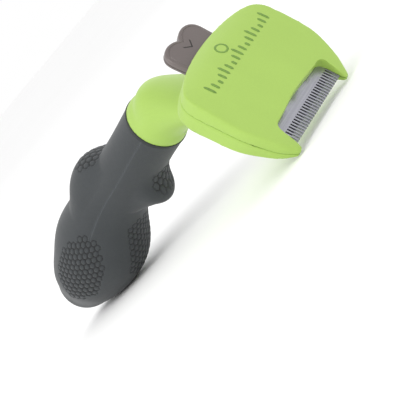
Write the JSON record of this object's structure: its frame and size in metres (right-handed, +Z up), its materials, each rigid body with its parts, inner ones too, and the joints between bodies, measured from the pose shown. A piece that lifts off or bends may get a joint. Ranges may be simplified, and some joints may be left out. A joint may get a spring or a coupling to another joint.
{
  "type": "deshedding tool",
  "caption": "Swan-necked deshedding comb with a soft waisted handle, a wide comb head, and a thumb button that slides a bar over the teeth to push off the hair.",
  "frame": {"origin": "middle of the footprint, on the surface that the handle's belly and the two guard tips rest on", "axes": "+X from the tail of the handle to the comb, +Z up, on the thumb side, +Y across the comb"},
  "size_m": [0.1832, 0.0664, 0.0599],
  "materials": {
    "green_plastic": "satin moulded",
    "grip_rubber": "soft matt",
    "comb_steel": "fine ground",
    "button_plastic": "metallic satin",
    "dark_plastic": "matt",
    "collar_plastic": "matt",
    "core_plastic": "matt",
    "spring_steel": "drawn wire",
    "screw_steel": "zinc"
  },
  "bodies": {
    "tool": {"head_body": "green_plastic", "head_front_cover": "green_plastic", "comb_blade": "comb_steel", "blade_screws": "screw_steel", "spring_guide_pin_left": "screw_steel", "spring_guide_pin_right": "screw_steel", "ejector_spring_left": "spring_steel", "ejector_spring_right": "spring_steel", "collar_ring": "collar_plastic", "handle_core_upper": "core_plastic", "handle_core_lower": "core_plastic", "core_screws": "screw_steel", "tang_pins": "screw_steel", "grip_upper": "grip_rubber", "grip_lower": "grip_rubber"},
    "ejector": {"ejector_button": "button_plastic", "ejector_carriage": "dark_plastic", "pusher_bar": "dark_plastic", "pusher_screws": "screw_steel", "button_screws": "screw_steel"}
  },
  "joints": [
    {"name": "ejector_slide", "type": "slide", "parent": "tool", "child": "ejector", "axis": [0.342, 0, -0.9397], "range_m": [0, 0.0065], "stiffness_N_per_m": 400, "springref_m": -0.003, "deforming": ["ejector_spring_left", "ejector_spring_right"]}
  ]
}
